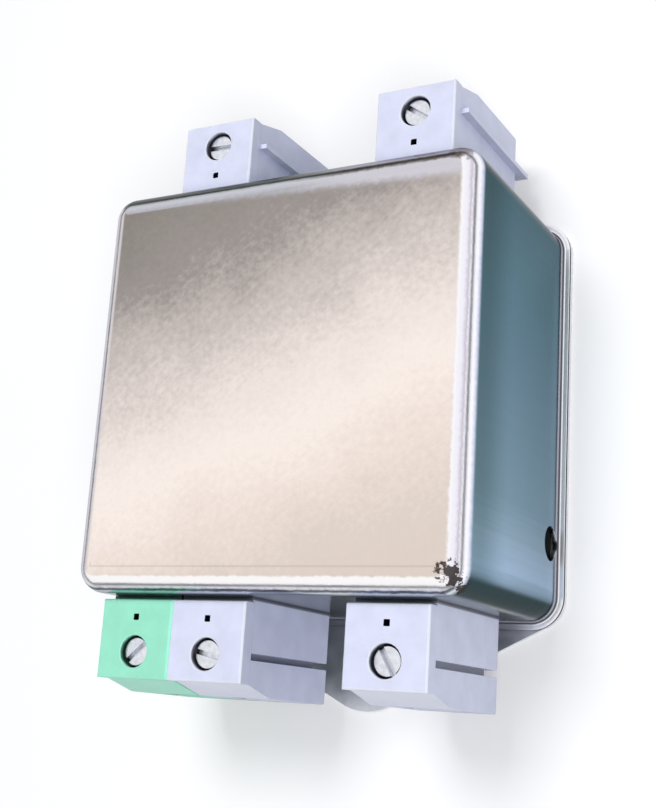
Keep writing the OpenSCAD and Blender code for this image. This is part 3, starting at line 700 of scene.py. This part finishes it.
def moulding(name, colour, screw, test):
    """Moulded plastic with a fine spark-eroded texture, with painted shade in its holes, in its side
    recesses, on its outward faces and where it meets the can, and a painted highlight on its edges and
    slopes.
    """
    material, tree, shader, place = new_material(name)
    axes = add_node(tree, "ShaderNodeSeparateXYZ", {"Vector": place}).outputs
    facing = place_group(tree, "Facing")
    texture = place_group(tree, "Grain", {"Vector": place, "Size": 0.22 * MM, "Contrast": 1.0})
    flow = place_group(tree, "Grain", {"Vector": place, "Size": 5 * MM, "Contrast": 0.9})
    pale = tuple(min(1.0, part * 1.06) for part in colour[:3]) + (1.0,)
    deep = tuple(part * 0.9 for part in colour[:3]) + (1.0,)
    dark = tuple(part * 0.06 for part in colour[:3]) + (1.0,)
    light = tuple(min(1.0, part * 1.3) for part in colour[:3]) + (1.0,)
    tone = blend_colours(tree, flow["Value"], deep, pale)
    tone = blend_colours(tree, calculate(tree, "MULTIPLY", texture["Value"], 0.12), tone, deep)
    # Painted highlight on the edges and slopes
    edges = band(tree, facing["Tilt"], 0.1, 0.3, 0.84, 0.94)
    tone = blend_colours(tree, calculate(tree, "MULTIPLY", edges, 0.55), tone, light)
    # Painted shade on the faces that look outwards
    outwards = smooth_step(tree, calculate(tree, "ABSOLUTE", facing["Along"]), 0.9, 0.98)
    outer_painted_shade = calculate(tree, "MULTIPLY", outwards, smooth_step(tree, facing["Tilt"], 0.93, 0.98))
    tone = blend_colours(tree, calculate(tree, "MULTIPLY", outer_painted_shade, 0.28), tone, dark)
    # Sides: a thin painted shadow line under the border, and painted shade on the bottom of the coupling
    # groove
    sideways = smooth_step(tree, calculate(tree, "ABSOLUTE", facing["Across"]), 0.7, 0.9)
    sideways = calculate(tree, "MULTIPLY", sideways, smooth_step(tree, facing["Tilt"], 0.7, 0.9))
    below = calculate(tree, "SUBTRACT", axes["Z"], screw[2])
    line = band(tree, below, -3.4 * MM, -3.25 * MM, -3.08 * MM, -2.98 * MM)
    offset = calculate(tree, "ABSOLUTE", calculate(tree, "SUBTRACT", axes["X"], screw[0]))
    groove = smooth_step(tree, offset, 7.1 * MM, 6.8 * MM)
    side_painted_shade = calculate(tree, "MAXIMUM", calculate(tree, "MULTIPLY", line, 0.4), groove)
    side_painted_shade = calculate(tree, "MULTIPLY", calculate(tree, "MULTIPLY", side_painted_shade, sideways), 0.62)
    tone = blend_colours(tree, side_painted_shade, tone, dark)
    # Painted shade inside the screw well and the test hole
    screw_well_shade = place_group(
        tree, "Bore", {"Vector": place, "Centre": screw, "Reach": 3.0 * MM, "Fade": 1.0 * MM}
    )
    test_hole_shade = place_group(
        tree, "Bore", {"Vector": place, "Centre": test, "Reach": 0.62 * MM, "Fade": 0.25 * MM}
    )
    tone = blend_colours(tree, screw_well_shade["Round"], tone, dark)
    tone = blend_colours(tree, test_hole_shade["Square"], tone, display(14, 15, 22))
    # Painted contact shade where the housing meets the can
    can_contact_shade = smooth_step(tree, calculate(tree, "ABSOLUTE", axes["Y"]), WALL + 0.6 * MM, WALL + 0.25 * MM)
    tone = blend_colours(tree, calculate(tree, "MULTIPLY", can_contact_shade, 0.85), tone, dark)
    tree.links.new(tone, shader.inputs["Base Color"])
    tree.links.new(
        calculate(tree, "ADD", calculate(tree, "MULTIPLY", texture["Value"], 0.16), 0.34),
        shader.inputs["Roughness"],
    )
    shader.inputs["Specular IOR Level"].default_value = 0.3
    add_bump(tree, shader, texture["Value"], 0.01 * MM, 0.5)
    return material


def plain_metal(name, colour, rough, turn):
    """Plated or rolled metal with fine drawing lines."""
    material, tree, shader, place = new_material(name)
    grain = place_group(tree, "Grain", {"Vector": place, "Size": 0.8 * MM, "Contrast": 1.0})
    lines = place_group(
        tree,
        "Streaks",
        {"Vector": place, "Turn": turn, "Length": 4 * MM, "Width": 0.08 * MM},
    )
    deep = tuple(part * 0.62 for part in colour[:3]) + (1.0,)
    tone = blend_colours(tree, calculate(tree, "MULTIPLY", grain["Value"], 0.6), tuple(colour), deep)
    tone = blend_colours(tree, calculate(tree, "MULTIPLY", lines["Mask"], 0.35), tone, deep)
    tree.links.new(tone, shader.inputs["Base Color"])
    shader.inputs["Metallic"].default_value = 1.0
    tree.links.new(
        calculate(tree, "ADD", calculate(tree, "MULTIPLY", grain["Value"], 0.18), rough),
        shader.inputs["Roughness"],
    )
    add_bump(tree, shader, lines["Value"], 0.006 * MM, 0.6)
    return material


def coated(name, colour, size, rough, relief, metallic=0.0):
    """A lacquer, resin or enamel coat with soft unevenness of the given size."""
    material, tree, shader, place = new_material(name)
    grain = place_group(tree, "Grain", {"Vector": place, "Size": size, "Contrast": 1.0})
    fine = place_group(tree, "Grain", {"Vector": place, "Size": size / 6, "Contrast": 1.0})
    deep = tuple(part * 0.72 for part in colour[:3]) + (1.0,)
    tone = blend_colours(tree, grain["Value"], tuple(colour), deep)
    tree.links.new(tone, shader.inputs["Base Color"])
    shader.inputs["Metallic"].default_value = metallic
    tree.links.new(
        calculate(tree, "ADD", calculate(tree, "MULTIPLY", fine["Value"], 0.2), rough),
        shader.inputs["Roughness"],
    )
    add_bump(tree, shader, grain["Value"], relief, 0.7)
    return material


def dress(obj, material):
    """Gives an object one material."""
    obj.data.materials.clear()
    obj.data.materials.append(material)


# ---------------------------------------------------------------- modelling helpers


def deselect_all():
    """Object mode with nothing selected."""
    if bpy.context.mode != "OBJECT":
        bpy.ops.object.mode_set(mode="OBJECT")
    bpy.ops.object.select_all(action="DESELECT")


def make_active(obj):
    """Selects one object alone."""
    deselect_all()
    obj.select_set(True)
    bpy.context.view_layer.objects.active = obj


def apply_modifier(obj, kind, name, **settings):
    """Adds a modifier with its settings and applies it."""
    make_active(obj)
    modifier = obj.modifiers.new(name, kind)
    for key, value in settings.items():
        setattr(modifier, key, value)
    bpy.ops.object.modifier_apply(modifier=name)


def apply_place(obj):
    """Moves an object's place and size into its mesh."""
    make_active(obj)
    bpy.ops.object.transform_apply(location=True, rotation=True, scale=True)


def clean_copy(node_name, piece_name):
    """A copy of a CAD node with whole faces instead of loose triangles."""
    source = NODES[node_name]
    obj = bpy.data.objects.new(piece_name, source.data.copy())
    obj.data.name = piece_name
    bpy.context.scene.collection.objects.link(obj)
    make_active(obj)
    bpy.ops.mesh.customdata_custom_splitnormals_clear()
    bpy.ops.object.mode_set(mode="EDIT")
    bpy.ops.mesh.select_all(action="SELECT")
    bpy.ops.mesh.remove_doubles(threshold=0.002 * MM)
    bpy.ops.mesh.tris_convert_to_quads(
        face_threshold=math.radians(0.5), shape_threshold=math.radians(50)
    )
    bpy.ops.object.mode_set(mode="OBJECT")
    return obj


def soften_edges(obj, width, segments=2, angle=30.0):
    """Rounds the sharp edges and smooths what is curved."""
    apply_modifier(
        obj,
        "BEVEL",
        "Soft edges",
        width=width,
        segments=segments,
        limit_method="ANGLE",
        angle_limit=math.radians(angle),
        harden_normals=False,
        use_clamp_overlap=True,
    )
    make_active(obj)
    bpy.ops.object.shade_smooth_by_angle(angle=math.radians(angle))
    apply_modifier(obj, "WEIGHTED_NORMAL", "Flat faces", keep_sharp=True, mode="FACE_AREA")


def stand_in(node_name, piece_name, material):
    """A dressed copy that stands for a CAD node and moves as it does."""
    obj = clean_copy(node_name, piece_name)
    dress(obj, material)
    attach(obj, NODES[node_name]["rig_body"])
    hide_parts(node_name)
    return obj


# ---------------------------------------------------------------- operators


class FILTER_OT_stage(bpy.types.Operator):
    """Add the floor, the lamps, the sky and the camera"""

    bl_idname = "filter.stage"
    bl_label = "Stage"

    def execute(self, context):
        stage = context.scene.filter_stage
        deselect_all()
        bpy.ops.mesh.primitive_plane_add(size=6.0, location=(0.0, 0.0, -0.1 * MM))
        floor = context.object
        floor.name = "floor"
        self.dress_floor(floor, stage)
        self.add_horizon(context)
        self.add_lamp("key_lamp", (-0.04, 0.21, 0.65), 0.26, stage.key_power)
        self.add_lamp("fill_lamp", (0.32, -0.30, 0.56), 0.26, stage.fill_power)
        self.light_sky(context.scene, stage)
        self.add_camera(context, stage)
        return {"FINISHED"}

    def seen_directly(self, tree):
        """1 for what the camera, a mirror or a glass sees, else 0."""
        path = tree.nodes.new("ShaderNodeLightPath")
        seen = calculate(
            tree,
            "MAXIMUM",
            path.outputs["Is Camera Ray"],
            path.outputs["Is Glossy Ray"],
        )
        return calculate(tree, "MAXIMUM", seen, path.outputs["Is Transmission Ray"])

    def dress_floor(self, floor, stage):
        material, tree, shader, place = new_material("pale_floor")
        grain = place_group(tree, "Grain", {"Vector": place, "Size": 40 * MM, "Contrast": 0.3})
        near = tuple(stage.floor_colour)
        far = tuple(part * 0.985 for part in near[:3]) + (1.0,)
        tone = blend_colours(tree, grain["Value"], near, far)
        tree.links.new(tone, shader.inputs["Base Color"])
        shader.inputs["Roughness"].default_value = 0.9
        shader.inputs["Specular IOR Level"].default_value = 0.0
        glow = add_node(tree, "ShaderNodeEmission", {"Color": (1.0, 1.0, 1.0, 1.0)})
        lift = calculate(tree, "MULTIPLY", self.seen_directly(tree), stage.floor_glow)
        tree.links.new(lift, glow.inputs["Strength"])
        both = add_node(
            tree,
            "ShaderNodeAddShader",
            {0: shader.outputs["BSDF"], 1: glow.outputs["Emission"]},
        )
        end = next(node for node in tree.nodes if node.type == "OUTPUT_MATERIAL")
        tree.links.new(both.outputs["Shader"], end.inputs["Surface"])
        dress(floor, material)

    def add_horizon(self, context):
        """A dark low wall far round the stage, which only bright metal mirrors."""
        deselect_all()
        bpy.ops.mesh.primitive_cylinder_add(
            vertices=96,
            radius=1.6,
            depth=0.3,
            end_fill_type="NOTHING",
            location=(0.0, 0.0, 0.15),
        )
        wall = context.object
        wall.name = "studio_wall"
        apply_place(wall)
        material, tree, shader, place = new_material("studio_wall")
        height = add_node(tree, "ShaderNodeSeparateXYZ", {"Vector": place}).outputs["Z"]
        fade = smooth_step(tree, height, 0.12, 0.3)
        tone = blend_colours(tree, fade, display(192, 195, 201), display(232, 234, 238))
        tree.links.new(tone, shader.inputs["Base Color"])
        shader.inputs["Roughness"].default_value = 0.9
        dress(wall, material)
        wall.visible_camera = False
        wall.visible_diffuse = False
        wall.visible_shadow = False

    def add_lamp(self, name, place, size, power):
        deselect_all()
        bpy.ops.object.light_add(type="AREA", location=place)
        lamp = bpy.context.object
        lamp.name = name
        lamp.data.shape = "DISK"
        lamp.data.size = size
        lamp.data.energy = power
        lamp.visible_glossy = False
        aim = Vector((0.0, 0.0, 0.02)) - Vector(place)
        lamp.rotation_euler = aim.to_track_quat("-Z", "Y").to_euler()

    def light_sky(self, scene, stage):
        world = bpy.data.worlds.new("soft_sky")
        scene.world = world
        world.use_nodes = True
        tree = world.node_tree
        tree.nodes.clear()
        end = tree.nodes.new("ShaderNodeOutputWorld")
        lit = add_node(
            tree,
            "ShaderNodeBackground",
            {"Color": (0.97, 0.98, 1.0, 1.0), "Strength": stage.sky},
        )
        seen = add_node(
            tree,
            "ShaderNodeBackground",
            {"Color": (1.0, 1.0, 1.0, 1.0), "Strength": 1.0},
        )
        mix = add_node(
            tree,
            "ShaderNodeMixShader",
            {
                0: self.seen_directly(tree),
                1: lit.outputs["Background"],
                2: seen.outputs["Background"],
            },
        )
        tree.links.new(mix.outputs["Shader"], end.inputs["Surface"])

    def add_camera(self, context, stage):
        deselect_all()
        turn = tuple(math.radians(angle) for angle in (15.67, 28.004, 4.047))
        bpy.ops.object.camera_add(location=(0.112527, -0.056936, 0.226559), rotation=turn)
        camera = context.object
        camera.name = "camera"
        camera.data.lens = stage.lens
        camera.data.sensor_width = 36.0
        camera.data.clip_start = 0.01
        context.scene.camera = camera
        context.scene.view_settings.view_transform = "Standard"


class FILTER_OT_can(bpy.types.Operator):
    """Finish the can, the base plate and the insulating sheet"""

    bl_idname = "filter.can"
    bl_label = "Can and base plate"

    def execute(self, context):
        can = context.scene.filter_can
        shell = stand_in("can", "can_shell", drawn_steel(can))
        soften_edges(shell, can.sheared_edge, segments=2)
        plate = stand_in("base_plate", "base_plate_sheet", plate_steel(can))
        soften_edges(plate, can.sheared_edge, segments=2)
        inside = context.scene.filter_inside
        # The insulating sheet's dark colour is painted shade for the inside of the can
        sheet = coated("insulating_sheet", inside.sheet_shade_colour, 2 * MM, 0.5, 0.02 * MM)
        dress(NODES["insulating_sheet"], sheet)
        return {"FINISHED"}


class FILTER_OT_housings(bpy.types.Operator):
    """Soften and finish the five moulded terminal housings"""

    bl_idname = "filter.housings"
    bl_label = "Terminal housings"

    def execute(self, context):
        housings = context.scene.filter_housings
        for name in TERMINALS:
            is_earth = name == "earth"
            low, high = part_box("screw_" + name)
            middle = (low + high) / 2
            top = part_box("housing_" + name)[1].z
            side = 1.0 if middle.y > 0.0 else -1.0
            plastic = moulding(
                name + "_moulding",
                housings.green if is_earth else housings.grey,
                (middle.x, middle.y, top),
                (middle.x, side * (WALL + housings.test_reach), top),
            )
            piece = stand_in(
                "housing_" + name,
                "housing_" + name + "_moulded",
                plastic,
            )
            soften_edges(piece, housings.soft_edge, segments=2)
        return {"FINISHED"}


class FILTER_OT_screws(bpy.types.Operator):
    """Model the slotted clamp screws with their threads"""

    bl_idname = "filter.screws"
    bl_label = "Clamp screws"

    def execute(self, context):
        clamps = context.scene.filter_clamps
        steel = plain_metal("screw_steel", clamps.screw_colour, 0.22, (0.0, 0.0, 0.7))
        angles = {"earth": 42, "neutral_in": -12, "live_in": 120, "neutral_out": -2, "live_out": -35}
        for name in TERMINALS:
            low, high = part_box("screw_" + name)
            screw = self.model_screw(clamps, low, high, math.radians(angles[name]))
            screw.name = "screw_" + name + "_threaded"
            screw.data.name = screw.name
            dress(screw, steel)
            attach(screw, "screw_" + name)
            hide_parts("screw_" + name)
        return {"FINISHED"}

    def model_screw(self, clamps, low, high, turn):
        """One screw between its lowest and highest corner, its slot turned."""
        middle = (low + high) / 2
        head_radius = (high.x - low.x) / 2
        head_height = 2.2 * MM
        head = self.model_head(clamps, head_radius, head_height, turn)
        shank = self.model_shank(clamps, 2.0 * MM, high.z - low.z - head_height + 0.2 * MM)
        head.location = (middle.x, middle.y, high.z)
        shank.location = (middle.x, middle.y, low.z)
        for part in (head, shank):
            apply_place(part)
        make_active(head)
        shank.select_set(True)
        bpy.ops.object.join()
        make_active(head)
        bpy.ops.object.shade_smooth_by_angle(angle=math.radians(28))
        return head

    def model_head(self, clamps, radius, height, turn):
        """A slotted cheese head whose top is at the origin."""
        deselect_all()
        bpy.ops.mesh.primitive_cylinder_add(
            vertices=64, radius=radius, depth=height, location=(0.0, 0.0, -height / 2)
        )
        head = bpy.context.object
        apply_place(head)
        self.bevel_ring(head, 0.0, 0.32 * MM, 3)
        self.bevel_ring(head, -height, 0.1 * MM, 1)
        bpy.ops.mesh.primitive_cube_add(size=1.0, location=(0.0, 0.0, 0.0))
        cutter = bpy.context.object
        cutter.dimensions = (radius * 3, clamps.slot_width, clamps.slot_depth * 2)
        cutter.rotation_euler = (0.0, 0.0, turn)
        apply_place(cutter)
        apply_modifier(head, "BOOLEAN", "Slot", operation="DIFFERENCE", object=cutter, solver="EXACT")
        bpy.data.objects.remove(cutter)
        apply_modifier(
            head,
            "BEVEL",
            "Slot edges",
            width=0.05 * MM,
            segments=1,
            limit_method="ANGLE",
            angle_limit=math.radians(50),
        )
        return head

    def bevel_ring(self, obj, height, width, segments):
        """Rounds the rim of a round piece at one height."""
        make_active(obj)
        bpy.ops.object.mode_set(mode="EDIT")
        bpy.ops.mesh.select_all(action="DESELECT")
        bpy.ops.object.mode_set(mode="OBJECT")
        near = 0.001 * MM
        for edge in obj.data.edges:
            ends = [obj.data.vertices[i].co.z for i in edge.vertices]
            edge.select = all(abs(z - height) < near for z in ends)
        bpy.ops.object.mode_set(mode="EDIT")
        bpy.ops.mesh.bevel(offset=width, segments=segments, profile=0.6, affect="EDGES")
        bpy.ops.object.mode_set(mode="OBJECT")

    def model_shank(self, clamps, radius, length):
        """A threaded shank standing on the origin."""
        pitch = clamps.thread_pitch
        root = radius - clamps.thread_depth
        deselect_all()
        bpy.ops.mesh.primitive_plane_add(size=1.0)
        shank = bpy.context.object
        profile = [
            (root, 0.0),
            (root, pitch * 0.12),
            (radius, pitch * 0.44),
            (radius, pitch * 0.56),
            (root, pitch * 0.88),
            (root, pitch),
        ]
        points = [(across, 0.0, up - 2 * pitch) for across, up in profile]
        shank.data.clear_geometry()
        edges = [(i, i + 1) for i in range(len(points) - 1)]
        shank.data.from_pydata(points, edges, [])
        turns = math.ceil(length / pitch) + 3
        apply_modifier(
            shank,
            "SCREW",
            "Thread",
            axis="Z",
            angle=math.radians(360),
            screw_offset=pitch,
            iterations=turns,
            steps=32,
            render_steps=32,
            use_merge_vertices=True,
            merge_threshold=0.001 * MM,
        )
        make_active(shank)
        bpy.ops.object.mode_set(mode="EDIT")
        bpy.ops.mesh.select_all(action="SELECT")
        bpy.ops.mesh.remove_doubles(threshold=0.001 * MM)
        for height, side in ((0.0, -1.0), (length, 1.0)):
            bpy.ops.mesh.select_all(action="SELECT")
            bpy.ops.mesh.bisect(
                plane_co=(0.0, 0.0, height),
                plane_no=(0.0, 0.0, side),
                use_fill=True,
                clear_outer=True,
                threshold=0.0001 * MM,
            )
        bpy.ops.mesh.select_all(action="SELECT")
        bpy.ops.mesh.normals_make_consistent(inside=False)
        bpy.ops.object.mode_set(mode="OBJECT")
        return shank


class FILTER_OT_clamps(bpy.types.Operator):
    """Finish the clamp cages and the current bars"""

    bl_idname = "filter.clamps"
    bl_label = "Cages and bars"

    def execute(self, context):
        clamps = context.scene.filter_clamps
        cage = plain_metal("cage_steel", clamps.cage_colour, 0.28, (0.0, 0.0, 0.0))
        bar = plain_metal("bar_metal", clamps.bar_colour, 0.24, (0.0, 0.0, math.pi / 2))
        for name in TERMINALS:
            dress(NODES["cage_" + name], cage)
            dress(NODES["bar_" + name], bar)
        return {"FINISHED"}


class FILTER_OT_board(bpy.types.Operator):
    """Finish the circuit board and its spacers"""

    bl_idname = "filter.board"
    bl_label = "Circuit board"

    def execute(self, context):
        inside = context.scene.filter_inside
        lacquer = coated("board_lacquer", inside.board_colour, 1.5 * MM, 0.3, 0.01 * MM)
        nylon = coated("spacer_nylon", inside.spacer_colour, 1.0 * MM, 0.4, 0.01 * MM)
        dress(NODES["circuit_board"], lacquer)
        dress(NODES["board_spacers"], nylon)
        return {"FINISHED"}


class FILTER_OT_choke(bpy.types.Operator):
    """Finish the choke's base, divider, core and windings"""

    bl_idname = "filter.choke"
    bl_label = "Choke"

    def execute(self, context):
        inside = context.scene.filter_inside
        plastic = coated("choke_plastic", inside.plastic_colour, 0.6 * MM, 0.42, 0.01 * MM)
        core = coated("core_lacquer", inside.core_colour, 1.2 * MM, 0.35, 0.03 * MM)
        copper = coated("enamelled_copper", inside.copper_colour, 2.5 * MM, 0.16, 0.01 * MM, 0.85)
        dress(NODES["choke_base"], plastic)
        dress(NODES["choke_divider"], plastic)
        dress(NODES["choke_core"], core)
        for name in ("winding_live", "winding_neutral"):
            dress(NODES[name], copper)
        return {"FINISHED"}


class FILTER_OT_components(bpy.types.Operator):
    """Finish the capacitors and the resistor"""

    bl_idname = "filter.components"
    bl_label = "Capacitors and resistor"

    def execute(self, context):
        inside = context.scene.filter_inside
        case = coated("capacitor_case", inside.box_colour, 0.8 * MM, 0.36, 0.01 * MM)
        disc = coated("capacitor_coat", inside.disc_colour, 1.4 * MM, 0.24, 0.03 * MM)
        coat = coated("resistor_coat", inside.resistor_colour, 1.0 * MM, 0.3, 0.02 * MM)
        for name in ("x_capacitor_line", "x_capacitor_load"):
            dress(NODES[name], case)
        for name in ("y_capacitor_live", "y_capacitor_neutral"):
            dress(NODES[name], disc)
        dress(NODES["bleed_resistor"], coat)
        return {"FINISHED"}


OPERATORS = (
    FILTER_OT_stage,
    FILTER_OT_can,
    FILTER_OT_housings,
    FILTER_OT_screws,
    FILTER_OT_clamps,
    FILTER_OT_board,
    FILTER_OT_choke,
    FILTER_OT_components,
)


class FILTER_PT_main(bpy.types.Panel):
    """Lists the steps that finish the filter"""

    bl_idname = "FILTER_PT_main"
    bl_label = "Mains Filter"
    bl_space_type = "VIEW_3D"
    bl_region_type = "UI"
    bl_category = "Mains Filter"

    def draw(self, context):
        for operator in OPERATORS:
            self.layout.operator(operator.bl_idname)
        for name in SETTINGS:
            box = self.layout.box()
            group = getattr(context.scene, name)
            for key in group.bl_rna.properties.keys():
                if key not in {"rna_type", "name"}:
                    box.prop(group, key)


SETTINGS = {
    "filter_stage": FILTER_PG_stage,
    "filter_can": FILTER_PG_can,
    "filter_housings": FILTER_PG_housings,
    "filter_clamps": FILTER_PG_clamps,
    "filter_inside": FILTER_PG_inside,
}
CLASSES = (*SETTINGS.values(), *OPERATORS, FILTER_PT_main)


def register():
    for cls in CLASSES:
        bpy.utils.register_class(cls)
    for name, group in SETTINGS.items():
        setattr(bpy.types.Scene, name, bpy.props.PointerProperty(type=group))


def unregister():
    for name in SETTINGS:
        delattr(bpy.types.Scene, name)
    for cls in reversed(CLASSES):
        bpy.utils.unregister_class(cls)


def main():
    register()
    bpy.ops.filter.stage()
    bpy.ops.filter.can()
    bpy.ops.filter.housings()
    bpy.ops.filter.screws()
    bpy.ops.filter.clamps()
    bpy.ops.filter.board()
    bpy.ops.filter.choke()
    bpy.ops.filter.components()


if __name__ == "__main__":
    main()
